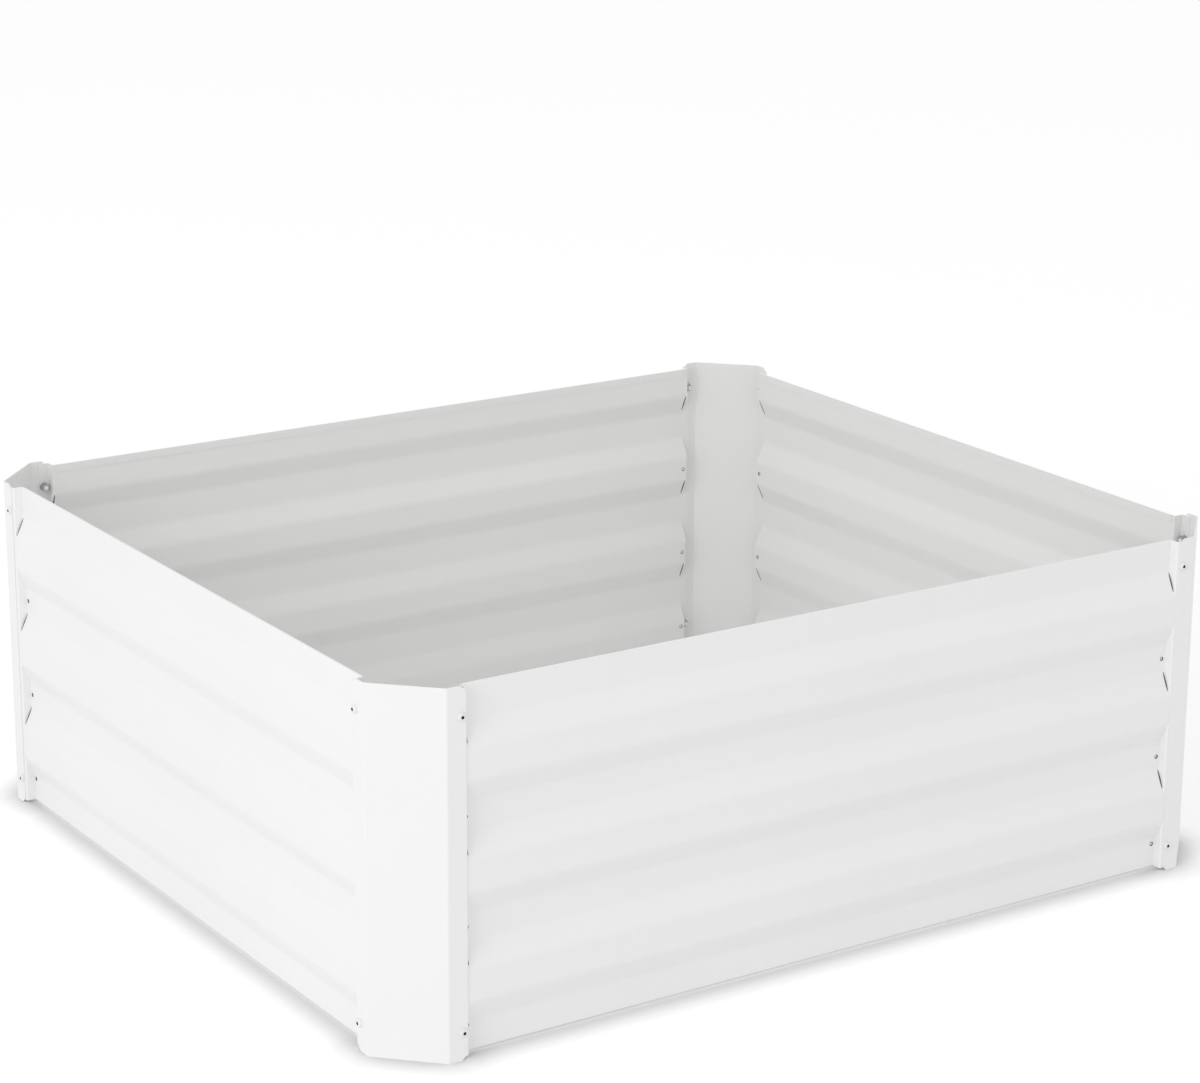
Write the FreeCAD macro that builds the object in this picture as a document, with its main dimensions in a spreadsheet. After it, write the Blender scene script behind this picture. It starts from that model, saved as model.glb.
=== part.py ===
"""Raised garden bed: four pressed, ribbed sheet-steel panels screwed to four chamfered corner posts.

The bed is bottomless. Front is -Y, up is +Z, and the origin is the middle of the bed on the ground.
Every panel is drawn with X along it, Y from its outer face inwards and Z up from its lower edge.
Every post is drawn with its (cut off) corner at the origin and its two sides along +X and +Y.
"""
import FreeCAD, Part
import Sketcher
import math
import os

# Driving sizes in millimetres. Each one is set by itself.
SIZES = {
    "bed_length": 825.0,          # along X, over the post flanges' outer faces
    "bed_width": 740.0,           # along Y, over the post flanges' outer faces
    "post_height": 300.0,
    "chamfer_width": 45.0,             # what the 45 degree chamfer takes off each side
    "post_flange": 16.5,          # flange width from the chamfer's bend line
    "post_sheet": 1.0,
    "post_bend": 1.5,             # inside bend radius
    "post_clip": 5.0,             # corners clipped off the flanges' free edges
    "panel_drop": 2.5,            # how far each panel edge stops short of the post's end
    "panel_sheet": 0.8,
    "margin_start": 8.3,          # from the post's bend line to the panel's end edge
    "wall_offset": 18.2,          # from the post's bend line to the end wall's outer side
    "fold_bend": 0.8,             # inside radius of the fold between end wall and margin
    "rib_depth": 8.7,
    "rib_crest": 27.0,            # height of a rib's flat top, between bend lines
    "rib_slope": 18.9,            # height that each sloping side takes up
    "rib_bend": 11.0,             # inside radius where slopes meet flats
    "rib_count": 3,
    "strip_below": 24.2,          # flat strip under the lowest rib
    "strip_above": 28.4,          # flat strip over the top rib
    "hem_height": 7.0,            # edge folded flat against the inner side
    "hem_setback": 3.0,           # from the end wall to the hem's end
    "hole_edge": 4.0,             # screw hole's centre to the flange's free edge
    "hole_top": 24.0,             # screw hole's centre below the post's top
    "hole_bottom": 23.0,          # screw hole's centre above the post's foot
    "weep_diameter": 3.0,
    "weep_offset": 3.2,           # drain hole's centre to the end wall's outer side
    "screw_diameter": 4.0,
    "screw_length": 8.0,
    "head_diameter": 7.6,
    "head_height": 2.2,
    "head_flat": 4.2,             # across the flat on top of the head
    "socket_across": 2.5,
    "socket_depth": 1.3,
    "hole_clearance": 0.5,        # screw holes are this much wider than the screw
    "washer_diameter": 8.0,
    "washer_height": 0.5,
    "washer_clearance": 0.3,
    "nut_across": 7.0,
    "nut_height": 3.2,
}

SMALL_ROUND_FLATS = 12            # sides of hidden bores and shanks and of the small drain holes

doc = FreeCAD.newDocument("RaisedGardenBed")


class Size:
    """A length as a number together with the sheet expression that gives it."""

    def __init__(self, value, text):
        self.value = value
        self.text = text

    def __add__(self, other):
        other = as_size(other)
        return Size(self.value + other.value, f"({self.text} + {other.text})")

    def __sub__(self, other):
        other = as_size(other)
        return Size(self.value - other.value, f"({self.text} - {other.text})")

    def __mul__(self, other):
        other = as_size(other)
        return Size(self.value * other.value, f"({self.text} * {other.text})")

    def __truediv__(self, other):
        other = as_size(other)
        return Size(self.value / other.value, f"({self.text} / {other.text})")

    def __neg__(self):
        return Size(-self.value, f"(0 - {self.text})")

    def root(self):
        return Size(math.sqrt(self.value), f"sqrt({self.text})")


def as_size(item):
    """Plain numbers take part in sums with sizes as they are."""
    return item if isinstance(item, Size) else Size(float(item), f"{float(item):.6g}")


def sized(name):
    return Size(float(SIZES[name]), f"Sizes.{name}")


def make_sheet():
    """Write every driving size into the spreadsheet, one row each, under its own alias."""
    sheet = doc.addObject("Spreadsheet::Sheet", "Sizes")
    for row, (name, value) in enumerate(SIZES.items(), start=1):
        sheet.set(f"A{row}", name)
        sheet.set(f"B{row}", str(value))
        sheet.setAlias(f"B{row}", name)
    doc.recompute()


def bind(thing, prop, size):
    """Tie one property of an object to the sheet."""
    thing.setExpression(prop, as_size(size).text)


# Sketches

def origin_part(body, role):
    return next(part for part in body.Origin.OriginFeatures if part.Role == role)


def new_sketch(body, name, plane):
    sketch = body.newObject("Sketcher::SketchObject", name)
    sketch.AttachmentSupport = [(origin_part(body, plane), "")]
    sketch.MapMode = "FlatFace"
    return sketch


def pin_point(sketch, geometry, point, place):
    """Hold one point of a sketch at a place given by two sizes."""
    for kind, size, axis in (("DistanceX", place[0], -2), ("DistanceY", place[1], -1)):
        if size.value == 0:
            sketch.addConstraint(Sketcher.Constraint("PointOnObject", geometry, point, axis))
            continue
        rule = Sketcher.Constraint(kind, -1, 1, geometry, point, size.value)
        bind(sketch, f"Constraints[{sketch.addConstraint(rule)}]", size)


def draw_outline(sketch, corners):
    """Draw a closed outline. Each corner is (x, y, arc): arc is None where a straight line leaves
    the corner, or (centre x, centre y, radius) where a bend of under half a turn leaves it."""
    corners = [(as_size(x), as_size(y), arc) for x, y, arc in corners]
    up = FreeCAD.Vector(0, 0, 1)
    ends = []
    for index, (x, y, arc) in enumerate(corners):
        next_x, next_y, _ = corners[(index + 1) % len(corners)]
        first = FreeCAD.Vector(x.value, y.value, 0)
        last = FreeCAD.Vector(next_x.value, next_y.value, 0)
        if arc is None:
            geometry = sketch.addGeometry(Part.LineSegment(first, last), False)
            ends.append((geometry, 1, 2))
            continue
        centre = FreeCAD.Vector(as_size(arc[0]).value, as_size(arc[1]).value, 0)
        turn = (first - centre).cross(last - centre).z
        angles = [math.atan2(end.y - centre.y, end.x - centre.x) for end in (first, last)]
        angles = angles if turn > 0 else angles[::-1]
        if angles[1] < angles[0]:
            angles[1] += 2 * math.pi
        circle = Part.Circle(centre, up, as_size(arc[2]).value)
        geometry = sketch.addGeometry(Part.ArcOfCircle(circle, *angles), False)
        rule = Sketcher.Constraint("Radius", geometry, as_size(arc[2]).value)
        bind(sketch, f"Constraints[{sketch.addConstraint(rule)}]", arc[2])
        ends.append((geometry, 1, 2) if turn > 0 else (geometry, 2, 1))
    for index, (geometry, start, end) in enumerate(ends):
        following, following_start, _ = ends[(index + 1) % len(ends)]
        sketch.addConstraint(Sketcher.Constraint("Coincident", geometry, end, following, following_start))
        pin_point(sketch, geometry, start, corners[index][:2])


def draw_flats(sketch, x, y, diameter):
    """Draw a small round that is seldom seen closely as a regular outline with a few flats."""
    half = as_size(diameter) / 2
    turns = [2 * math.pi * (corner + 0.5) / SMALL_ROUND_FLATS for corner in range(SMALL_ROUND_FLATS)]
    draw_outline(sketch, [(half * math.cos(turn) + x, half * math.sin(turn) + y, None) for turn in turns])


def draw_circle(sketch, diameter):
    """Draw a round about the sketch's origin."""
    circle = Part.Circle(FreeCAD.Vector(), FreeCAD.Vector(0, 0, 1), diameter.value / 2)
    geometry = sketch.addGeometry(circle, False)
    sketch.addConstraint(Sketcher.Constraint("Coincident", geometry, 3, -1, 1))
    rule = Sketcher.Constraint("Diameter", geometry, diameter.value)
    bind(sketch, f"Constraints[{sketch.addConstraint(rule)}]", diameter)


# Features

def pad(body, name, sketch, length, symmetric=False):
    feature = body.newObject("PartDesign::Pad", name)
    feature.Profile = sketch
    feature.SideType = "Symmetric" if symmetric else "One side"
    bind(feature, "Length", length)
    doc.recompute()
    return feature


def pocket(body, name, sketch, length=None):
    """Cut the sketch to a length on both of its sides together, or right through both ways."""
    feature = body.newObject("PartDesign::Pocket", name)
    feature.Profile = sketch
    feature.SideType = "Symmetric"
    if length is None:
        feature.Type = "ThroughAll"
    else:
        bind(feature, "Length", length)
    before = body.Shape.Volume
    doc.recompute()
    if not feature.Shape.Volume < before:
        raise RuntimeError(f"{body.Label}: {name} cuts nothing")
    return feature


def pattern_up(body, name, sketch, length, count):
    """Copies along the sketch's vertical axis, spread over a length."""
    rows = body.newObject("PartDesign::LinearPattern", name)
    rows.Direction = (sketch, ["V_Axis"])
    bind(rows, "Length", length)
    bind(rows, "Occurrences", count)
    return rows


def repeat(body, name, originals, steps):
    """Repeat features by one step, or by several that multiply each other, and make that the tip."""
    if len(steps) == 1:
        many = steps[0]
    else:
        many = body.newObject("PartDesign::MultiTransform", name)
        many.Transformations = steps
    many.Originals = originals
    body.Tip = many
    before = body.Shape.Volume
    doc.recompute()
    if many.Shape.Volume == before:
        raise RuntimeError(f"{body.Label}: {name} repeats nothing")


def mirror(body, name, sketch):
    """A copy on the other side of the sketch's vertical axis."""
    other = body.newObject("PartDesign::Mirrored", name)
    other.MirrorPlane = (sketch, ["V_Axis"])
    return other


def hole(body, name, plane, x, y, diameter):
    """A small hole right through, at a place on one of the body's planes."""
    sketch = new_sketch(body, f"{name}_place", plane)
    draw_flats(sketch, x, y, diameter)
    return sketch, pocket(body, name, sketch)


def place(thing, x, y, z, turn=0.0, axis=(0, 0, 1)):
    """Turn about an axis by a fixed angle, then move to a place bound to the sheet."""
    thing.Placement = FreeCAD.Placement(FreeCAD.Vector(), FreeCAD.Rotation(FreeCAD.Vector(*axis), turn))
    for name, size in zip("xyz", (x, y, z)):
        bind(thing, f"Placement.Base.{name}", size)


# Sizes that several pieces share

QUARTER_BEND = math.sqrt(2) - 1                      # tangent of half of 45 degrees
POST_HOLE = sized("chamfer_width") + sized("post_flange") - sized("hole_edge")
SCREW_HOLE = sized("screw_diameter") + sized("hole_clearance")
HOLE_ROWS = (sized("hole_bottom"), sized("post_height") - sized("hole_top"))
ROW_SPAN = HOLE_ROWS[1] - HOLE_ROWS[0]
PANEL_HEIGHT = sized("post_height") - sized("panel_drop") * 2
PANEL_BACK = sized("rib_depth") + sized("panel_sheet")
RIB_HEIGHT = sized("rib_crest") + sized("rib_slope") * 2
RIB_FIRST = sized("strip_below") + RIB_HEIGHT / 2
RIB_SPAN = PANEL_HEIGHT - sized("strip_below") - sized("strip_above") - RIB_HEIGHT
RIB_PITCH = RIB_SPAN / (sized("rib_count") - 1)


def corner_post(name, x, y, turn):
    """A strip of sheet bent twice by 45 degrees: flange, chamfer, flange."""
    body = doc.addObject("PartDesign::Body", name)
    leg, sheet, bend = sized("chamfer_width"), sized("post_sheet"), sized("post_bend")
    outer = bend + sheet
    edge = leg + sized("post_flange")
    flat = leg + outer * QUARTER_BEND                 # where the flange's flat part starts
    slant = outer * (1 - math.sqrt(0.5))              # the bend's end below the flange's face
    slant_inner = outer - bend * math.sqrt(0.5)
    run = flat - outer * math.sqrt(0.5)
    run_inner = flat - bend * math.sqrt(0.5)
    plan = new_sketch(body, "bent_strip", "XY_Plane")
    draw_outline(plan, [
        (edge, 0, None), (flat, 0, (flat, outer, outer)), (run, slant, None),
        (slant, run, (outer, flat, outer)), (0, flat, None), (0, edge, None),
        (sheet, edge, None), (sheet, flat, (outer, flat, bend)), (slant_inner, run_inner, None),
        (run_inner, slant_inner, (flat, outer, bend)), (flat, sheet, None), (edge, sheet, None)])
    strip = pad(body, "strip", plan, sized("post_height"))
    clipped = body.newObject("PartDesign::Chamfer", "clipped_corners")
    clipped.Base = (strip, free_corner_edges(strip.Shape, edge.value))
    bind(clipped, "Size", sized("post_clip"))
    doc.recompute()
    for side, plane in (("x", "XZ_Plane"), ("y", "YZ_Plane")):
        sketch, first = hole(body, f"screw_hole_{side}", plane, POST_HOLE, HOLE_ROWS[0], SCREW_HOLE)
        rows = pattern_up(body, f"screw_holes_{side}", sketch, ROW_SPAN, 2)
        repeat(body, f"screw_holes_{side}", [first], [rows])
    place(body, x, y, 0, turn)
    return body


def free_corner_edges(shape, edge):
    """The short level edges through the sheet at the flanges' free ends."""
    names = []
    for index, line in enumerate(shape.Edges, start=1):
        middle = line.CenterOfMass
        level = abs(line.BoundBox.ZLength) < 1e-6
        if level and abs(max(middle.x, middle.y) - edge) < 1e-6:
            names.append(f"Edge{index}")
    return names


def rib_points(near, far):
    """One upper rib side as the four (depth, height) ends of its two bends, with their centres.

    near and far are the radii of this face at the crest's bend and at the foot's bend. The bends'
    centres are the same for both faces of the sheet."""
    rise, depth = sized("rib_slope"), sized("rib_depth")
    bend, sheet = sized("rib_bend"), sized("panel_sheet")
    slope = (rise * rise + depth * depth).root()
    half_turn = (slope - rise) / depth                # tangent of half the bend angle
    crest = sized("rib_crest") / 2 - (bend + sheet) * half_turn
    foot = sized("rib_crest") / 2 + rise + bend * half_turn
    crest_depth, foot_depth = bend + sheet, depth - bend
    cosine, sine = rise / slope, depth / slope
    return [
        (crest_depth - near, crest, (crest_depth, crest, near)),
        (crest_depth - near * cosine, crest + near * sine, None),
        (foot_depth + far * cosine, foot - far * sine, (foot_depth, foot, far)),
        (foot_depth + far, foot, None)]


def rib_outline(near, far, reach):
    """A whole rib about its first position, closed by a straight line at the given depth."""
    middle = RIB_FIRST
    upper = rib_points(near, far)
    outline = [(d, middle + height, arc and (arc[0], middle + arc[1], arc[2])) for d, height, arc in upper]
    outline += [(reach, outline[-1][1], None), (reach, middle - upper[-1][1], None)]
    for index in (3, 2, 1, 0):
        d, height, _ = upper[index]
        arc = upper[index - 1][2] if index else None
        outline.append((d, middle - height, arc and (arc[0], middle - arc[1], arc[2])))
    return outline


def panel_plan(half, wall):
    """The sheet in plan: margin, end wall, valley floor, end wall, margin. Both faces, closed.

    The fold at the margin is rounded; the wall's foot is pressed sharp."""
    sheet, fold, depth = sized("panel_sheet"), sized("fold_bend"), sized("rib_depth")
    outer = fold + sheet
    top = wall + outer                                # the fold's centre along the panel
    front = [
        (half, 0, None), (top, 0, (top, outer, outer)), (wall, outer, None), (wall, depth, None)]
    back = [
        (wall + sheet, PANEL_BACK, None),
        (wall + sheet, outer, (top, outer, fold)), (top, sheet, None), (half, sheet, None)]
    return front + mirrored(front) + mirrored(back) + back


def mirrored(points):
    """The same points across X = 0 and in reverse, each arc moved to the point that it now leaves."""
    arcs = [arc and (-arc[0], arc[1], arc[2]) for _, _, arc in points]
    flipped = [(-x, y, arcs[index - 1] if index else None) for index, (x, y, _) in enumerate(points)]
    return flipped[::-1]


def pressed_panel(name, length, x, y, turn):
    """A ribbed panel between two post bend lines that are `length` apart."""
    body = doc.addObject("PartDesign::Body", name)
    sheet = sized("panel_sheet")
    half = length / 2 - sized("margin_start")
    wall = length / 2 - sized("wall_offset")
    crest_end = wall + sized("fold_bend") + sheet

    plan = new_sketch(body, "plan", "XY_Plane")
    draw_outline(plan, panel_plan(half, wall))
    pad(body, "folded_sheet", plan, PANEL_HEIGHT)

    screw_x = length / 2 - (sized("post_flange") - sized("hole_edge"))
    lowest = HOLE_ROWS[0] - sized("panel_drop")
    sketch, first = hole(body, "screw_hole", "XZ_Plane", screw_x, lowest, SCREW_HOLE)
    rows = pattern_up(body, "screw_hole_rows", sketch, ROW_SPAN, 2)
    repeat(body, "screw_holes", [first], [rows, mirror(body, "screw_hole_ends", sketch)])

    weep_x = wall - sized("weep_offset")
    sketch, first = hole(body, "drain_hole_low", "XZ_Plane", weep_x, lowest, sized("weep_diameter"))
    repeat(body, "drain_holes_low", [first], [mirror(body, "drain_hole_low_ends", sketch)])
    valley = RIB_FIRST + RIB_PITCH / 2
    sketch, first = hole(body, "drain_hole", "XZ_Plane", weep_x, valley, sized("weep_diameter"))
    rows = pattern_up(body, "drain_hole_rows", sketch, RIB_SPAN - RIB_PITCH, sized("rib_count") - 1)
    repeat(body, "drain_holes", [first], [rows, mirror(body, "drain_hole_ends", sketch)])

    bend = sized("rib_bend")
    outside = new_sketch(body, "rib_outside", "YZ_Plane")
    draw_outline(outside, rib_outline(bend + sheet, bend, PANEL_BACK))
    rib = pad(body, "rib", outside, crest_end * 2, symmetric=True)
    inside = new_sketch(body, "rib_inside", "YZ_Plane")
    draw_outline(inside, rib_outline(bend, bend + sheet, PANEL_BACK + sheet))
    hollow = pocket(body, "rib_hollow", inside, crest_end * 2)
    ribs = pattern_up(body, "ribs", outside, RIB_SPAN, sized("rib_count"))
    repeat(body, "ribs", [rib, hollow], [ribs])

    hem_end = wall - sized("hem_setback")
    hems = new_sketch(body, "hem_ends", "YZ_Plane")
    for low, high in ((as_size(0), sized("hem_height")),
                      (PANEL_HEIGHT - sized("hem_height"), PANEL_HEIGHT)):
        draw_outline(hems, [(PANEL_BACK, low, None), (PANEL_BACK + sheet, low, None),
                            (PANEL_BACK + sheet, high, None), (PANEL_BACK, high, None)])
    pad(body, "hems", hems, hem_end * 2, symmetric=True)

    place(body, x, y, sized("panel_drop"), turn)
    return body


# Fasteners. Each is drawn once along +Z, from the outer face of a post flange inwards.

def revolve(body, name, sketch):
    feature = body.newObject("PartDesign::Revolution", name)
    feature.Profile = sketch
    feature.ReferenceAxis = (sketch, ["V_Axis"])
    doc.recompute()
    return feature


def hexagon(across):
    """Corners of a regular hexagon of the given width across its flats."""
    corner = across / math.sqrt(3)
    return [(corner * 1.0, 0, None), (corner * 0.5, across / 2, None), (-(corner * 0.5), across / 2, None),
            (-corner, 0, None), (-(corner * 0.5), -(across / 2), None), (corner * 0.5, -(across / 2), None)]


def button_screw():
    """A sloping button head with a hexagon socket, on a plain shank."""
    body = doc.addObject("PartDesign::Body", "screw")
    head = sized("head_diameter") / 2
    top, flat = sized("head_height"), sized("head_flat") / 2
    section = new_sketch(body, "section", "XZ_Plane")
    draw_outline(section, [
        (0, -top, None), (flat, -top, None), (head, 0, None), (0, 0, None)])
    revolve(body, "head", section)
    round_bar = new_sketch(body, "shank_outline", "XY_Plane")
    draw_flats(round_bar, 0, 0, sized("screw_diameter"))
    pad(body, "shank", round_bar, sized("screw_length"))
    socket = new_sketch(body, "socket_outline", "XY_Plane")
    socket.AttachmentOffset = FreeCAD.Placement(FreeCAD.Vector(0, 0, -top.value), FreeCAD.Rotation())
    bind(socket, "AttachmentOffset.Base.z", -top)
    draw_outline(socket, hexagon(sized("socket_across")))
    pocket(body, "socket", socket, sized("socket_depth") * 2)
    return body


def washer():
    body = doc.addObject("PartDesign::Body", "washer")
    section = new_sketch(body, "ring", "XY_Plane")
    draw_circle(section, sized("washer_diameter"))
    draw_flats(section, 0, 0, sized("screw_diameter") + sized("washer_clearance"))
    pad(body, "disc", section, sized("washer_height"))
    return body


def hex_nut():
    body = doc.addObject("PartDesign::Body", "nut")
    section = new_sketch(body, "outline", "XY_Plane")
    draw_outline(section, hexagon(sized("nut_across")))
    draw_flats(section, 0, 0, sized("screw_diameter"))
    pad(body, "block", section, sized("nut_height"))
    return body


def corner_set(master, depth):
    """Four links to one fastener, in a corner's own frame: two rows on each of its two flanges."""
    links = []
    for side, axis, turn in (("x", (1, 0, 0), -90.0), ("y", (0, 1, 0), 90.0)):
        for row, height in enumerate(HOLE_ROWS):
            link = doc.addObject("App::Link", f"{master.Name}_{side}_{row}")
            link.LinkedObject = master
            along, into = (POST_HOLE, depth) if side == "x" else (depth, POST_HOLE)
            link.Placement = FreeCAD.Placement(
                FreeCAD.Vector(), FreeCAD.Rotation(FreeCAD.Vector(*axis), turn))
            for name, size in zip("xyz", (along, into, height)):
                bind(link, f"Placement.Base.{name}", size)
            links.append(link)
    return links


def fastener_group(name, links, x, y, turn):
    group = doc.addObject("Part::Compound", name)
    group.Links = links
    place(group, x, y, 0, turn)
    return group


def build():
    """Make every piece, each in its own place, and return them in a list."""
    make_sheet()
    half_x, half_y = sized("bed_length") / 2, sized("bed_width") / 2
    face_x, face_y = half_x - sized("post_sheet"), half_y - sized("post_sheet")
    span_x = sized("bed_length") - sized("chamfer_width") * 2
    span_y = sized("bed_width") - sized("chamfer_width") * 2
    corners = (("front_left", -half_x, -half_y, 0.0), ("front_right", half_x, -half_y, 90.0),
               ("back_right", half_x, half_y, 180.0), ("back_left", -half_x, half_y, 270.0))
    panels = (("front", span_x, as_size(0), -face_y, 0.0), ("right", span_y, face_x, as_size(0), 90.0),
              ("back", span_x, as_size(0), face_y, 180.0), ("left", span_y, -face_x, as_size(0), 270.0))
    pieces = [pressed_panel(f"panel_{side}", *where) for side, *where in panels]
    pieces += [corner_post(f"corner_post_{corner}", *where) for corner, *where in corners]

    inner_face = sized("post_sheet") + sized("panel_sheet")
    sets = (("screws", button_screw(), as_size(0)), ("washers", washer(), inner_face),
            ("nuts", hex_nut(), inner_face + sized("washer_height")))
    for plural, master, depth in sets:
        links = corner_set(master, depth)
        pieces += [fastener_group(f"{plural}_{corner}", links, *where) for corner, *where in corners]
    return pieces


def check(pieces):
    """Stop on any failed feature or unsound shape before a file is written."""
    doc.recompute()
    for thing in doc.Objects:
        if any(state in ("Invalid", "Error") for state in thing.State):
            raise RuntimeError(f"{thing.Label} failed: {thing.State}")
    for piece in pieces:
        if piece.Shape.isNull() or not piece.Shape.isValid():
            raise RuntimeError(f"{piece.Label} has no sound shape")


def export(pieces):
    os.makedirs("parts", exist_ok=True)
    for piece in pieces:
        piece.Shape.exportStep(os.path.join("parts", f"{piece.Label}.step"))
        box = piece.Shape.BoundBox
        print(f"{piece.Label}: {len(piece.Shape.Solids)} solids, {piece.Shape.Volume:.1f} mm3, "
              f"x {box.XMin:.1f}..{box.XMax:.1f}, y {box.YMin:.1f}..{box.YMax:.1f}, "
              f"z {box.ZMin:.1f}..{box.ZMax:.1f}")


made = build()
check(made)
export(made)
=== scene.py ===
"""Dress, light and frame a white raised garden bed of ribbed sheet-steel panels.

The bed's panels, posts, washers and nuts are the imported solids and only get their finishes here. The
screws are modelled again in full, with domed heads, hexagon sockets and threads. All lengths are in
metres unless a name says millimetres. The front faces -Y and the ground is z = 0.
"""

import logging
import math
from collections.abc import Mapping
from dataclasses import dataclass, field
from enum import Enum

import bmesh
import bpy
from bmesh.types import BMesh, BMEdge, BMVert
from bpy.types import Material, Node, NodeSocket, NodeTree, Object
from mathutils import Matrix, Vector

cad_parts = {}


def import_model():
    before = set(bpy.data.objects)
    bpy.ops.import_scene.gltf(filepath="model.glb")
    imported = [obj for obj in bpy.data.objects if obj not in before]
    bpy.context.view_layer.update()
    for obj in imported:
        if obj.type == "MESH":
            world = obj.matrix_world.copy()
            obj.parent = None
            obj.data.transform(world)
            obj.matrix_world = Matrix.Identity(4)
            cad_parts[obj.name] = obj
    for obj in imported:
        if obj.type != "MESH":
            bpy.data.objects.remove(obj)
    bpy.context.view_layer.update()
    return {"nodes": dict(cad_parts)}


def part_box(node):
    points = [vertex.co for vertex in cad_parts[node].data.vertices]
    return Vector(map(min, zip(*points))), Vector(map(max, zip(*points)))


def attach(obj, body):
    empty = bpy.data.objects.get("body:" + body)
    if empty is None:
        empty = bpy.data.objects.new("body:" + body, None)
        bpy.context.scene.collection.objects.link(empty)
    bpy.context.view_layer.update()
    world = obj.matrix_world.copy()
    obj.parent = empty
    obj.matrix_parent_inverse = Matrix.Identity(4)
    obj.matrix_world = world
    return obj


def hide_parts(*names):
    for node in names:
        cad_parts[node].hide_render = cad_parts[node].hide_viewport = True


log = logging.getLogger("garden_bed")

MM = 0.001
WELD = 1e-7                                # points closer than this are one


class Corner(Enum):
    """The bed's four corners, as the signs of X and Y there."""

    FRONT_LEFT = (-1, -1)
    FRONT_RIGHT = (1, -1)
    BACK_RIGHT = (1, 1)
    BACK_LEFT = (-1, 1)

    @property
    def word(self) -> str:
        """The corner's name as the nodes spell it."""
        return self.name.lower()


class Side(Enum):
    """The bed's four sides."""

    FRONT = "front"
    RIGHT = "right"
    BACK = "back"
    LEFT = "left"


class Outward(Enum):
    """How a sheet's painted face is told from its back, by the signs that weigh its X and Y.

    A face is an outer one where its normal, times its place, times these signs, is above zero. Along a
    panel the end walls face the middle of the bed, so that axis counts backwards.
    """

    FACING_Y = (-1.0, 1.0, 0.0)
    FACING_X = (1.0, -1.0, 0.0)
    FACING_AWAY = (1.0, 1.0, 0.0)


def linear(hex_colour: str) -> tuple[float, float, float, float]:
    """Turn an sRGB hex colour into linear light.

    Args:
        hex_colour: Six hex digits after a hash sign.

    Returns:
        Red, green, blue and an alpha of one.
    """
    parts = [int(hex_colour[index:index + 2], 16) / 255 for index in (1, 3, 5)]
    red, green, blue = (part / 12.92 if part <= 0.04045 else ((part + 0.055) / 1.055) ** 2.4
                        for part in parts)
    return red, green, blue, 1.0


def add_node(tree: NodeTree, kind: str, settings: Mapping[str, object] | None = None,
             inputs: Mapping[str | int, object] | None = None) -> Node:
    """Add one node with its settings and whatever feeds it.

    Args:
        tree: The material's or world's node tree.
        kind: The node's type name.
        settings: Property names and values.
        inputs: Input names or places, each with a socket to link from or a plain value.

    Returns:
        The new node.
    """
    node = tree.nodes.new(kind)
    for name, value in (settings or {}).items():
        setattr(node, name, value)
    for name, value in (inputs or {}).items():
        if isinstance(value, NodeSocket):
            tree.links.new(value, node.inputs[name])
        else:
            node.inputs[name].default_value = value
    return node


def new_material(name: str) -> tuple[Material, NodeTree]:
    """Make an empty node material.

    Args:
        name: The material's name.

    Returns:
        The material and its cleared node tree.
    """
    material = bpy.data.materials.new(name)
    material.use_nodes = True
    material.node_tree.nodes.clear()
    return material, material.node_tree


def close_material(tree: NodeTree, surface: NodeSocket) -> None:
    """Link a finished shader to the material's output.

    Args:
        tree: The material's node tree.
        surface: The shader's socket.
    """
    add_node(tree, "ShaderNodeOutputMaterial", inputs={"Surface": surface})


@dataclass(frozen=True)
class PaintedShadeSpot:
    """One small dark oval of painted shade, at both ends of a panel."""

    inset: float                           # from the end wall to the oval's middle
    height: float                          # above the panel's lower edge
    half_width: float
    half_height: float


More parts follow.
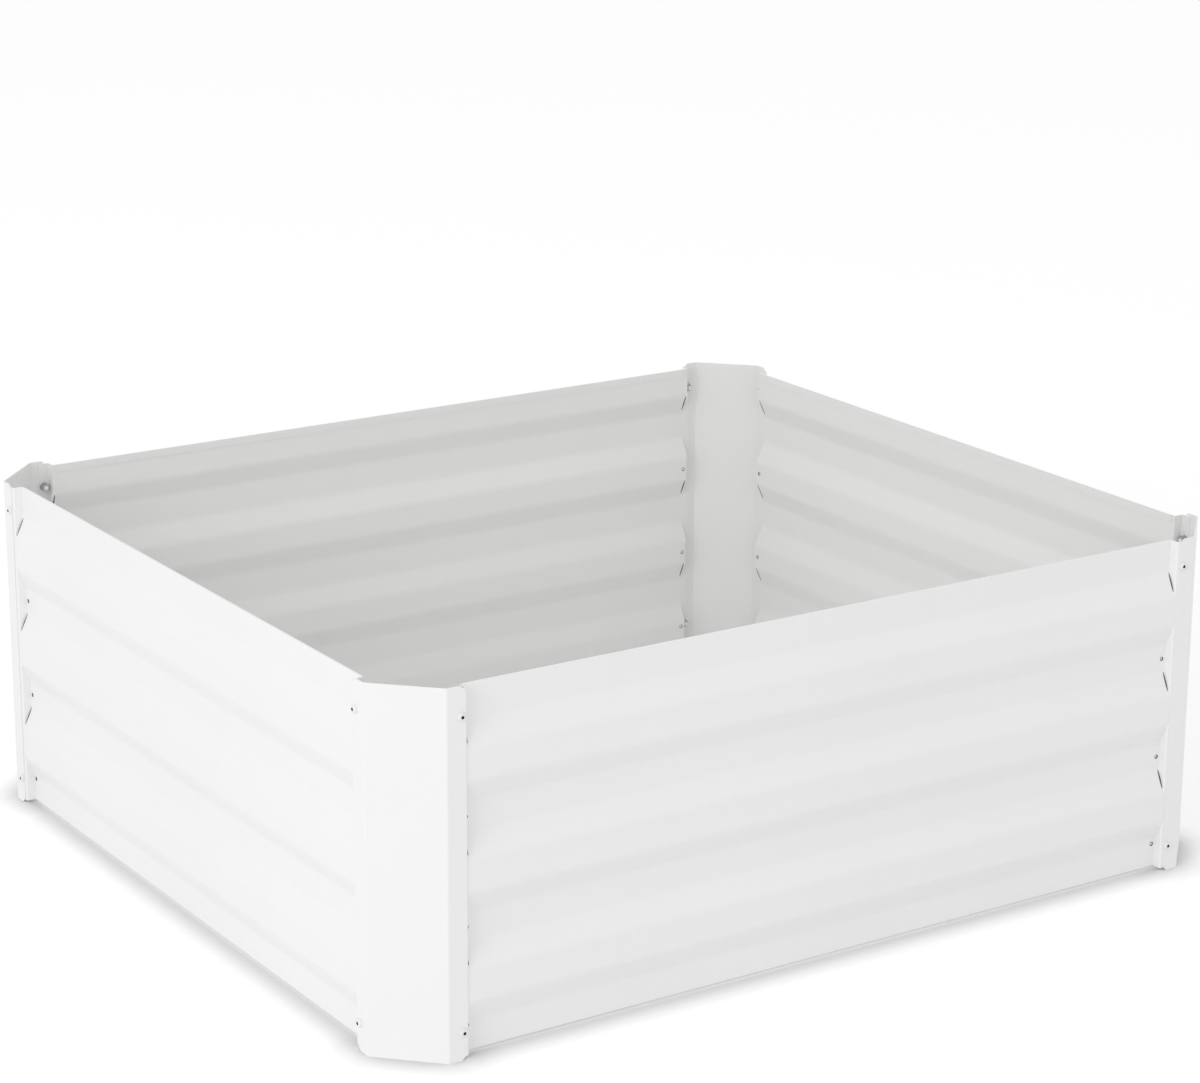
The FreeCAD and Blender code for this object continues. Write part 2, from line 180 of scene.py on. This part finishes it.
@dataclass(frozen=True)
class PaintedShadeSpots:
    """Painted shade at the ends of a panel's ribs, drawn in the coat's colour.

    Where a rib runs out, the press leaves a narrow slit down its upper slope beside the end wall. The
    solids don't have it cut, so the shade inside it is painted as a dark oval. They do have the punched
    drain holes, and a dark ring of painted shade is drawn round each, for the dark seen through it.
    """

    axis: str                              # the axis that runs along the panel
    wall: float                            # the end wall's place on that axis
    foot: float                            # the panel's lower edge
    slit_heights: tuple[float, ...] = (81.1 * MM, 169.9 * MM, 258.7 * MM)
    slit_half: tuple[float, float] = (0.75 * MM, 8.0 * MM)
    hole_heights: tuple[float, ...] = (20.5 * MM, 101.0 * MM, 189.8 * MM)
    hole_inset: float = 3.2 * MM
    # how far the painted shade round each drain hole reaches from its middle
    hole_shade_radius: float = 1.95 * MM

    def _marks(self) -> list[PaintedShadeSpot]:
        """List the painted shade of the slits and round the holes.

        Returns:
            Every spot of painted shade at one end of the panel.
        """
        width, height = self.slit_half
        slit_shades = [PaintedShadeSpot(width, level, width, height) for level in self.slit_heights]
        hole_shades = [PaintedShadeSpot(self.hole_inset, level, self.hole_shade_radius, self.hole_shade_radius)
                for level in self.hole_heights]
        return slit_shades + hole_shades

    def mask(self, tree: NodeTree, place: NodeSocket) -> NodeSocket:
        """Add a mask that is one inside the spots of painted shade.

        Args:
            tree: The material's node tree.
            place: Object coordinates.

        Returns:
            The mask.
        """
        parts = add_node(tree, "ShaderNodeSeparateXYZ", None, {"Vector": place}).outputs
        reach = add_node(tree, "ShaderNodeMath", {"operation": "ABSOLUTE"},
                         {0: parts[self.axis]}).outputs["Value"]
        spot = add_node(tree, "ShaderNodeCombineXYZ", None, {"X": reach, "Y": parts["Z"]}).outputs["Vector"]
        found: NodeSocket | None = None
        for mark in self._marks():
            middle = (self.wall - mark.inset, self.foot + mark.height, 0.0)
            offset = add_node(tree, "ShaderNodeVectorMath", {"operation": "SUBTRACT"},
                              {0: spot, 1: middle}).outputs["Vector"]
            scaled = add_node(tree, "ShaderNodeVectorMath", {"operation": "DIVIDE"},
                              {0: offset, 1: (mark.half_width, mark.half_height, 1.0)}).outputs["Vector"]
            length = add_node(tree, "ShaderNodeVectorMath", {"operation": "LENGTH"},
                              {0: scaled}).outputs["Value"]
            inside = add_node(tree, "ShaderNodeMath", {"operation": "LESS_THAN"},
                              {0: length, 1: 1.0}).outputs["Value"]
            found = inside if found is None else add_node(
                tree, "ShaderNodeMath", {"operation": "MAXIMUM"}, {0: found, 1: inside}).outputs["Value"]
        return found


@dataclass(frozen=True)
class CoilCoat:
    """White polyester coil coat on galvanised sheet, rolled on before the sheet is pressed.

    It gives the eye a clean, neutral white with a soft sheen, very slight waves in the flats, and a
    thinner, greyer wash of the same paint on the back. On the panels it also carries painted shade: dark
    ovals in the slits and dark rings round the drain holes at the ribs' ends.
    """

    name: str = "polyester_coil_coat"
    paint: str = "#F5F5F5"
    backing: str = "#ECECEB"
    drift: str = "#F1F1F1"                 # the paint where the film is a little thinner
    mark: str = "#4C4B49"                  # painted shade: the gloom inside a slit, and a dark ring round a drain hole for the dark seen through it
    roughness: float = 0.42
    ior: float = 1.5
    outer_limit: float = -0.03             # metres; under zero, so that level faces count as outer
    drift_mm: float = 160.0                # size of the film's slow changes
    drift_detail: float = 2.0
    wave_mm: float = 90.0                  # size of the flats' waves left by the press
    wave_height_mm: float = 0.12
    peel_mm: float = 5.0                   # real peel is near 1 mm; drawn coarser so that it shows
    peel_height_mm: float = 0.006
    bump_detail: float = 1.0

    def material(self, outward: Outward, shade_spots: PaintedShadeSpots | None = None) -> Material:
        """Build the paint for sheets whose outer faces look one way.

        Args:
            outward: Which way the outer faces look.
            shade_spots: The painted shade at the ribs' ends, if the sheet has any.

        Returns:
            The finished material.
        """
        material, tree = new_material(f"{self.name}_{outward.name.lower()}")
        place = add_node(tree, "ShaderNodeTexCoord").outputs["Object"]
        facing = add_node(tree, "ShaderNodeNewGeometry").outputs["Normal"]
        weighed = add_node(tree, "ShaderNodeVectorMath", {"operation": "MULTIPLY"},
                           {0: place, 1: outward.value}).outputs["Vector"]
        side = add_node(tree, "ShaderNodeVectorMath", {"operation": "DOT_PRODUCT"},
                        {0: weighed, 1: facing}).outputs["Value"]
        outer = add_node(tree, "ShaderNodeMath", {"operation": "GREATER_THAN"},
                         {0: side, 1: self.outer_limit}).outputs["Value"]
        film = add_node(tree, "ShaderNodeTexNoise", None, {
            "Vector": place, "Scale": 1 / (self.drift_mm * MM), "Detail": self.drift_detail}).outputs["Fac"]
        painted = add_node(tree, "ShaderNodeMix", {"data_type": "RGBA"},
                           {"Factor": film, "A": linear(self.paint), "B": linear(self.drift)})
        colour = add_node(tree, "ShaderNodeMix", {"data_type": "RGBA"},
                          {"Factor": outer, "A": linear(self.backing), "B": painted.outputs["Result"]})
        if shade_spots is not None:
            # painted shade: the slits' gloom and the dark rings round the drain holes, mixed over the coat
            colour = add_node(tree, "ShaderNodeMix", {"data_type": "RGBA"}, {
                "Factor": shade_spots.mask(tree, place), "A": colour.outputs["Result"], "B": linear(self.mark)})
        shader = add_node(tree, "ShaderNodeBsdfPrincipled", None, {
            "Base Color": colour.outputs["Result"], "Roughness": self.roughness, "IOR": self.ior,
            "Normal": self._unevenness(tree, place)})
        close_material(tree, shader.outputs["BSDF"])
        return material

    def _unevenness(self, tree: NodeTree, place: NodeSocket) -> NodeSocket:
        """Add the press waves and the paint's peel as two bumps.

        Args:
            tree: The material's node tree.
            place: Object coordinates.

        Returns:
            The bumped normal.
        """
        normal: NodeSocket | None = None
        for size, height in ((self.wave_mm, self.wave_height_mm), (self.peel_mm, self.peel_height_mm)):
            noise = add_node(tree, "ShaderNodeTexNoise", None,
                             {"Vector": place, "Scale": 1 / (size * MM), "Detail": self.bump_detail})
            inputs: dict[str | int, object] = {
                "Strength": 1.0, "Distance": height * MM, "Height": noise.outputs["Fac"]}
            if normal is not None:
                inputs["Normal"] = normal
            normal = add_node(tree, "ShaderNodeBump", None, inputs).outputs["Normal"]
        return normal


@dataclass(frozen=True)
class ZincPlate:
    """Bright zinc plate on turned steel: pale, slightly blue metal with a cloudy sheen."""

    name: str = "bright_zinc_plate"
    bright: str = "#C3C7CB"
    cloudy: str = "#A4A9AF"
    roughness: tuple[float, float] = (0.28, 0.46)
    cloud_mm: float = 2.0
    cloud_detail: float = 3.0

    def material(self) -> Material:
        """Build the plated metal.

        Returns:
            The finished material.
        """
        material, tree = new_material(self.name)
        place = add_node(tree, "ShaderNodeTexCoord").outputs["Object"]
        cloud = add_node(tree, "ShaderNodeTexNoise", None, {
            "Vector": place, "Scale": 1 / (self.cloud_mm * MM), "Detail": self.cloud_detail}).outputs["Fac"]
        colour = add_node(tree, "ShaderNodeMix", {"data_type": "RGBA"},
                          {"Factor": cloud, "A": linear(self.bright), "B": linear(self.cloudy)})
        dull = add_node(tree, "ShaderNodeMapRange", None,
                        {"Value": cloud, "To Min": self.roughness[0], "To Max": self.roughness[1]})
        shader = add_node(tree, "ShaderNodeBsdfPrincipled", None, {
            "Base Color": colour.outputs["Result"], "Metallic": 1.0, "Roughness": dull.outputs["Result"]})
        close_material(tree, shader.outputs["BSDF"])
        return material


@dataclass(frozen=True)
class HeadLacquer:
    """White stoving lacquer on the screw heads, with a near-black colour down in the socket, painted shade
    over the modelled recess.
    """

    name: str = "stoved_head_lacquer"
    lacquer: str = "#F4F4F4"
    chip: str = "#E6E6E5"
    # near black: painted shade down in the socket
    socket: str = "#2B2A28"
    roughness: float = 0.38
    ior: float = 1.5
    socket_roughness: tuple[float, float] = (0.45, 0.65)
    fleck_mm: float = 1.2
    fleck_detail: float = 2.0

    def head(self) -> Material:
        """Build the lacquer of the heads.

        Returns:
            The finished material.
        """
        material, tree = new_material(self.name)
        place = add_node(tree, "ShaderNodeTexCoord").outputs["Object"]
        fleck = add_node(tree, "ShaderNodeTexNoise", None, {
            "Vector": place, "Scale": 1 / (self.fleck_mm * MM), "Detail": self.fleck_detail}).outputs["Fac"]
        colour = add_node(tree, "ShaderNodeMix", {"data_type": "RGBA"},
                          {"Factor": fleck, "A": linear(self.lacquer), "B": linear(self.chip)})
        shader = add_node(tree, "ShaderNodeBsdfPrincipled", None, {
            "Base Color": colour.outputs["Result"], "Roughness": self.roughness, "IOR": self.ior})
        close_material(tree, shader.outputs["BSDF"])
        return material

    def socket_shade(self) -> Material:
        """Build the sockets' near-black colour, painted shade for the recess.

        Returns:
            The finished material.
        """
        material, tree = new_material(f"{self.name}_socket")
        place = add_node(tree, "ShaderNodeTexCoord").outputs["Object"]
        fleck = add_node(tree, "ShaderNodeTexNoise", None,
                         {"Vector": place, "Scale": 1 / (self.fleck_mm * MM)}).outputs["Fac"]
        dull = add_node(tree, "ShaderNodeMapRange", None, {
            "Value": fleck, "To Min": self.socket_roughness[0], "To Max": self.socket_roughness[1]})
        shader = add_node(tree, "ShaderNodeBsdfPrincipled", None, {
            "Base Color": linear(self.socket), "Roughness": dull.outputs["Result"]})
        close_material(tree, shader.outputs["BSDF"])
        return material


def dress(node: Object, material: Material) -> None:
    """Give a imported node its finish, without touching its mesh.

    Args:
        node: The node's object.
        material: What every material slot holds.
    """
    for slot in node.material_slots:
        slot.material = material
    if not node.material_slots:
        node.data.materials.append(material)


def open_ring(mesh: BMesh, height: float) -> list[BMEdge]:
    """Find the open edges that lie at one height.

    Args:
        mesh: The mesh to look through.
        height: The z of the ring.

    Returns:
        The ring's edges.
    """
    return [edge for edge in mesh.edges if edge.is_boundary
            and all(abs(vert.co.z - height) < WELD for vert in edge.verts)]


@dataclass
class ButtonScrew:
    """One button-head screw, drawn along +Z from its head's underside, with the head below zero."""

    head_radius: float = 3.8 * MM
    head_height: float = 2.2 * MM
    rim_height: float = 0.35 * MM
    flat_radius: float = 2.0 * MM
    socket_across: float = 2.5 * MM
    socket_depth: float = 1.3 * MM
    shank_radius: float = 2.0 * MM
    shank_length: float = 8.0 * MM
    thread_pitch: float = 0.7 * MM
    thread_depth: float = 0.4 * MM
    steps: int = 36
    dome_steps: int = 7

    def _dome(self) -> list[Vector]:
        """List the head's profile from its underside to the flat round the socket.

        Returns:
            Points in the XZ plane.
        """
        fall = self.head_height - self.rim_height
        spread = self.head_radius - self.flat_radius
        radius = (fall * fall + spread * spread) / (2 * fall)
        centre = Vector((self.flat_radius, 0, -self.head_height + radius))
        sweep = math.atan2(spread, radius - fall)
        points = [Vector((self.shank_radius, 0, 0)), Vector((self.head_radius, 0, 0))]
        for step in range(self.dome_steps + 1):
            turn = sweep * (1 - step / self.dome_steps)
            points.append(centre + radius * Vector((math.sin(turn), 0, -math.cos(turn))))
        return points

    def _spin(self, mesh: BMesh, points: list[Vector]) -> None:
        """Turn an open profile about the Z axis into a skin.

        Args:
            mesh: The mesh that the skin is added to.
            points: The profile, in the XZ plane.
        """
        verts = [mesh.verts.new(point) for point in points]
        edges = [mesh.edges.new(pair) for pair in zip(verts, verts[1:])]
        bmesh.ops.spin(mesh, geom=verts + edges, cent=(0, 0, 0), axis=(0, 0, 1), angle=2 * math.pi,
                       steps=self.steps, use_merge=True, use_duplicate=False)

    def _hexagon(self, verts: list[BMVert]) -> None:
        """Move a ring of points, level and about the Z axis, on to the socket's hexagon.

        Args:
            verts: The ring's points.
        """
        for vert in verts:
            turn = math.atan2(vert.co.y, vert.co.x)
            from_flat = (turn + math.pi / 6) % (math.pi / 3) - math.pi / 6
            reach = self.socket_across / 2 / math.cos(from_flat)
            vert.co.x, vert.co.y = reach * math.cos(turn), reach * math.sin(turn)

    def _grow(self, mesh: BMesh, edges: list[BMEdge]) -> tuple[list[BMEdge], list[BMVert]]:
        """Extrude a ring of edges in place.

        Args:
            mesh: The mesh that holds the ring.
            edges: The ring.

        Returns:
            The new ring's edges and points.
        """
        grown = bmesh.ops.extrude_edge_only(mesh, edges=edges)["geom"]
        verts = [item for item in grown if isinstance(item, BMVert)]
        kept = set(verts)
        ring = [item for item in grown if isinstance(item, BMEdge) and set(item.verts) <= kept]
        return ring, verts

    def build(self) -> BMesh:
        """Model the whole screw.

        Returns:
            A mesh whose faces have material 0 outside and 1 in the socket.
        """
        mesh = bmesh.new()
        self._spin(mesh, self._dome())
        ring, verts = self._grow(mesh, open_ring(mesh, -self.head_height))
        self._hexagon(verts)
        painted = set(mesh.faces)
        ring, verts = self._grow(mesh, ring)
        bmesh.ops.translate(mesh, verts=verts, vec=(0, 0, self.socket_depth))
        bmesh.ops.edgeloop_fill(mesh, edges=ring)
        for face in mesh.faces:
            face.material_index = 0 if face in painted else 1
        self._shank(mesh)
        bmesh.ops.remove_doubles(mesh, verts=mesh.verts, dist=WELD)
        bmesh.ops.recalc_face_normals(mesh, faces=mesh.faces)
        for face in mesh.faces:
            face.smooth = face.material_index == 0
        return mesh

    def _shank(self, mesh: BMesh) -> None:
        """Add the thread as rings one pitch apart, which at this size look like the helix.

        Args:
            mesh: The mesh that holds the head.
        """
        crest, root = self.shank_radius, self.shank_radius - self.thread_depth
        points = [Vector((crest, 0, 0))]
        turns = int(self.shank_length / self.thread_pitch)
        for turn in range(turns):
            start = self.thread_pitch * turn
            points.append(Vector((root, 0, start + self.thread_pitch * 0.5)))
            points.append(Vector((crest, 0, start + self.thread_pitch)))
        points.append(Vector((root, 0, self.shank_length)))
        self._spin(mesh, points)
        bmesh.ops.edgeloop_fill(mesh, edges=open_ring(mesh, self.shank_length))


@dataclass
class Fasteners:
    """The screws, washers and nuts of the four corners."""

    screw: ButtonScrew = field(default_factory=ButtonScrew)
    lacquer: HeadLacquer = HeadLacquer()
    zinc: ZincPlate = ZincPlate()

    def _places(self, corner: Corner) -> list[Matrix]:
        """Work out where a corner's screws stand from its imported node.

        Args:
            corner: The corner.

        Returns:
            One placement for each screw: its head's underside, with +Z pointing into the bed.
        """
        low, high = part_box(f"screws_{corner.word}")
        sign_x, sign_y = corner.value
        outer = Vector((low.x if sign_x < 0 else high.x, low.y if sign_y < 0 else high.y))
        inner = Vector((high.x if sign_x < 0 else low.x, high.y if sign_y < 0 else low.y))
        seat = outer - Vector((sign_x, sign_y)) * self.screw.head_height
        row = inner + Vector((sign_x, sign_y)) * self.screw.head_radius
        rows = (low.z + self.screw.head_radius, high.z - self.screw.head_radius)
        turned = ((Vector((row.x, seat.y)), Vector((0, -sign_y, 0))),
                  (Vector((seat.x, row.y)), Vector((-sign_x, 0, 0))))
        return [Matrix.Translation((spot.x, spot.y, level))
                @ into.to_track_quat("Z", "Y").to_matrix().to_4x4()
                for spot, into in turned for level in rows]

    def _piece(self, corner: Corner) -> Object:
        """Model a corner's screws as one object.

        Args:
            corner: The corner.

        Returns:
            The linked object, without its finishes.
        """
        whole = bmesh.new()
        for where in self._places(corner):
            single = self.screw.build()
            bmesh.ops.transform(single, matrix=where, verts=single.verts)
            data = bpy.data.meshes.new("single_screw")
            single.to_mesh(data)
            single.free()
            whole.from_mesh(data)
            bpy.data.meshes.remove(data)
        data = bpy.data.meshes.new(f"button_screws_{corner.word}")
        whole.to_mesh(data)
        whole.free()
        piece = bpy.data.objects.new(data.name, data)
        bpy.context.scene.collection.objects.link(piece)
        return piece

    def build(self, nodes: Mapping[str, Object]) -> list[Object]:
        """Model the screws and dress the washers and nuts.

        Args:
            nodes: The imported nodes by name.

        Returns:
            The new pieces.
        """
        head, socket_shade, zinc = self.lacquer.head(), self.lacquer.socket_shade(), self.zinc.material()
        made: list[Object] = []
        for corner in Corner:
            piece = self._piece(corner)
            # the second material is the painted shade of the sockets
            for material in (head, socket_shade):
                piece.data.materials.append(material)
            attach(piece, "root")
            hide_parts(f"screws_{corner.word}")
            made.append(piece)
            dress(nodes[f"washers_{corner.word}"], zinc)
            dress(nodes[f"nuts_{corner.word}"], zinc)
            log.info("%s: %d faces", piece.name, len(piece.data.polygons))
        return made


@dataclass
class Sheetwork:
    """The four ribbed panels and the four corner posts."""

    coat: CoilCoat = CoilCoat()
    margin: float = 9.9 * MM               # from a panel's end to the end wall

    def build(self, nodes: Mapping[str, Object]) -> None:
        """Dress every panel and post in the same coat.

        Args:
            nodes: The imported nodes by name.
        """
        front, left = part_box(f"panel_{Side.FRONT.value}"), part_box(f"panel_{Side.LEFT.value}")
        # the panels' paints also carry painted shade at the ribs' ends
        across = self.coat.material(Outward.FACING_Y, PaintedShadeSpots("X", front[1].x - self.margin, front[0].z))
        along = self.coat.material(Outward.FACING_X, PaintedShadeSpots("Y", left[1].y - self.margin, left[0].z))
        away = self.coat.material(Outward.FACING_AWAY)
        for side in Side:
            facing_y = side in (Side.FRONT, Side.BACK)
            dress(nodes[f"panel_{side.value}"], across if facing_y else along)
        for corner in Corner:
            dress(nodes[f"corner_post_{corner.word}"], away)
        log.info("sheetwork: %d pieces in %s", len(Side) + len(Corner), self.coat.name)


@dataclass
class Studio:
    """A plain pale room: floor, even light from all round and one broad soft light from the left."""

    floor_size: float = 30.0
    floor_colour: str = "#F5F5F5"
    floor_lift: float = 0.16               # added for camera and mirror rays: open floor looks near white
    contact_reach: float = 0.033           # how far the drawn contact shadow spreads
    contact_power: float = 0.78            # how fast it deepens towards the wall
    world_strength: float = 0.81
    key_power: float = 50.0
    key_size: float = 3.0
    key_place: Vector = field(default_factory=lambda: Vector((-4.2, -2.0, 2.1)))
    key_target: Vector = field(default_factory=lambda: Vector((0.0, 0.0, 0.15)))

    def build(self) -> None:
        """Make the floor, the world and the light."""
        self._floor()
        self._world()
        self._key()

    def _floor(self) -> None:
        """Make the floor."""
        mesh = bmesh.new()
        bmesh.ops.create_grid(mesh, x_segments=1, y_segments=1, size=self.floor_size / 2)
        data = bpy.data.meshes.new("studio_floor")
        mesh.to_mesh(data)
        mesh.free()
        floor = bpy.data.objects.new("studio_floor", data)
        bpy.context.scene.collection.objects.link(floor)
        data.materials.append(self._paper())

    def _paper(self) -> Material:
        """Build the floor's matt paper. The camera and mirror rays see it lighter than it lights the bed.

        The lights leave only a faint shadow on it. Most of the contact shadow is drawn over that from how
        closed in the floor is, for the camera alone, so that it doesn't darken the sheets above it.

        Returns:
            The finished material.
        """
        material, tree = new_material("matt_paper_floor")
        paper = add_node(tree, "ShaderNodeBsdfDiffuse", None, {"Color": linear(self.floor_colour)})
        open_sky = add_node(tree, "ShaderNodeAmbientOcclusion", None,
                            {"Distance": self.contact_reach}).outputs["AO"]
        direct = add_node(tree, "ShaderNodeLightPath").outputs["Is Camera Ray"]
        power = add_node(tree, "ShaderNodeMath", {"operation": "MULTIPLY"},
                         {0: direct, 1: self.contact_power}).outputs["Value"]
        shade = add_node(tree, "ShaderNodeMath", {"operation": "POWER"},
                         {0: open_sky, 1: power}).outputs["Value"]
        bright = add_node(tree, "ShaderNodeBsdfDiffuse", None, {"Color": shade})
        lift = add_node(tree, "ShaderNodeEmission", None, {"Color": shade, "Strength": self.floor_lift})
        lifted = add_node(tree, "ShaderNodeAddShader", None,
                          {0: bright.outputs["BSDF"], 1: lift.outputs["Emission"]})
        mixed = add_node(tree, "ShaderNodeMixShader", None, {
            0: self._looked_at(tree), 1: paper.outputs["BSDF"], 2: lifted.outputs["Shader"]})
        close_material(tree, mixed.outputs["Shader"])
        return material

    def _looked_at(self, tree: NodeTree) -> NodeSocket:
        """Tell the rays that show the background from those that light the bed.

        Args:
            tree: The floor's or the world's node tree.

        Returns:
            One for camera, glossy and transmission rays, else zero.
        """
        path = add_node(tree, "ShaderNodeLightPath")
        seen = path.outputs["Is Camera Ray"]
        for kind in ("Is Glossy Ray", "Is Transmission Ray"):
            seen = add_node(tree, "ShaderNodeMath", {"operation": "MAXIMUM"},
                            {0: seen, 1: path.outputs[kind]}).outputs["Value"]
        return seen

    def _world(self) -> None:
        """Light the room evenly, and show the camera a white background behind the floor."""
        world = bpy.data.worlds.new("studio")
        world.use_nodes = True
        tree = world.node_tree
        tree.nodes.clear()
        room = add_node(tree, "ShaderNodeBackground", None,
                        {"Color": (1.0, 1.0, 1.0, 1.0), "Strength": self.world_strength})
        white = add_node(tree, "ShaderNodeBackground", None,
                         {"Color": (1.0, 1.0, 1.0, 1.0), "Strength": 1.0})
        mixed = add_node(tree, "ShaderNodeMixShader", None, {
            0: self._looked_at(tree), 1: room.outputs["Background"], 2: white.outputs["Background"]})
        add_node(tree, "ShaderNodeOutputWorld", inputs={"Surface": mixed.outputs["Shader"]})
        bpy.context.scene.world = world

    def _key(self) -> None:
        """Hang the broad light on the left, a little in front."""
        light = bpy.data.lights.new("key", "AREA")
        light.shape = "DISK"
        light.size = self.key_size
        light.energy = self.key_power
        lamp = bpy.data.objects.new("key", light)
        lamp.location = self.key_place
        lamp.rotation_euler = (self.key_target - self.key_place).to_track_quat("-Z", "Y").to_euler()
        bpy.context.scene.collection.objects.link(lamp)


@dataclass
class Viewpoint:
    """The camera, as a place, three turns and a focal length in pixels of the long side."""

    image_width: int = 1200
    focal_pixels: float = 3370.0
    place: Vector = field(default_factory=lambda: Vector((-1.552, -2.377, 1.107)))
    yaw: float = 33.29                     # degrees from +Y towards +X
    pitch: float = 16.60                   # degrees below the horizon
    roll: float = 0.33                     # degrees, the horizon's right end up
    sensor_mm: float = 36.0
    clip: tuple[float, float] = (0.1, 100.0)

    def build(self) -> None:
        """Make the camera and give it to the scene."""
        yaw, pitch = math.radians(self.yaw), math.radians(self.pitch)
        ahead = Vector((math.sin(yaw) * math.cos(pitch), math.cos(yaw) * math.cos(pitch), -math.sin(pitch)))
        right = Vector((math.cos(yaw), -math.sin(yaw), 0))
        up = right.cross(ahead)
        turned = Matrix((right, up, -ahead)).transposed() @ Matrix.Rotation(math.radians(self.roll), 3, "Z")
        data = bpy.data.cameras.new("camera")
        data.sensor_fit = "HORIZONTAL"
        data.sensor_width = self.sensor_mm
        data.lens = self.focal_pixels / self.image_width * data.sensor_width
        data.clip_start, data.clip_end = self.clip
        camera = bpy.data.objects.new("camera", data)
        camera.matrix_world = Matrix.Translation(self.place) @ turned.to_4x4()
        bpy.context.scene.collection.objects.link(camera)
        bpy.context.scene.camera = camera


def main() -> None:
    """Load the bed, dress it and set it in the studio."""
    logging.basicConfig(level=logging.INFO, format="%(name)s: %(message)s")
    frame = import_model()
    bpy.context.scene.view_settings.view_transform = "Standard"
    nodes: Mapping[str, Object] = frame["nodes"]
    Viewpoint().build()
    Studio().build()
    Sheetwork().build(nodes)
    for piece in Fasteners().build(nodes):
        log.info("piece: %s", piece.name)


if __name__ == "__main__":
    main()
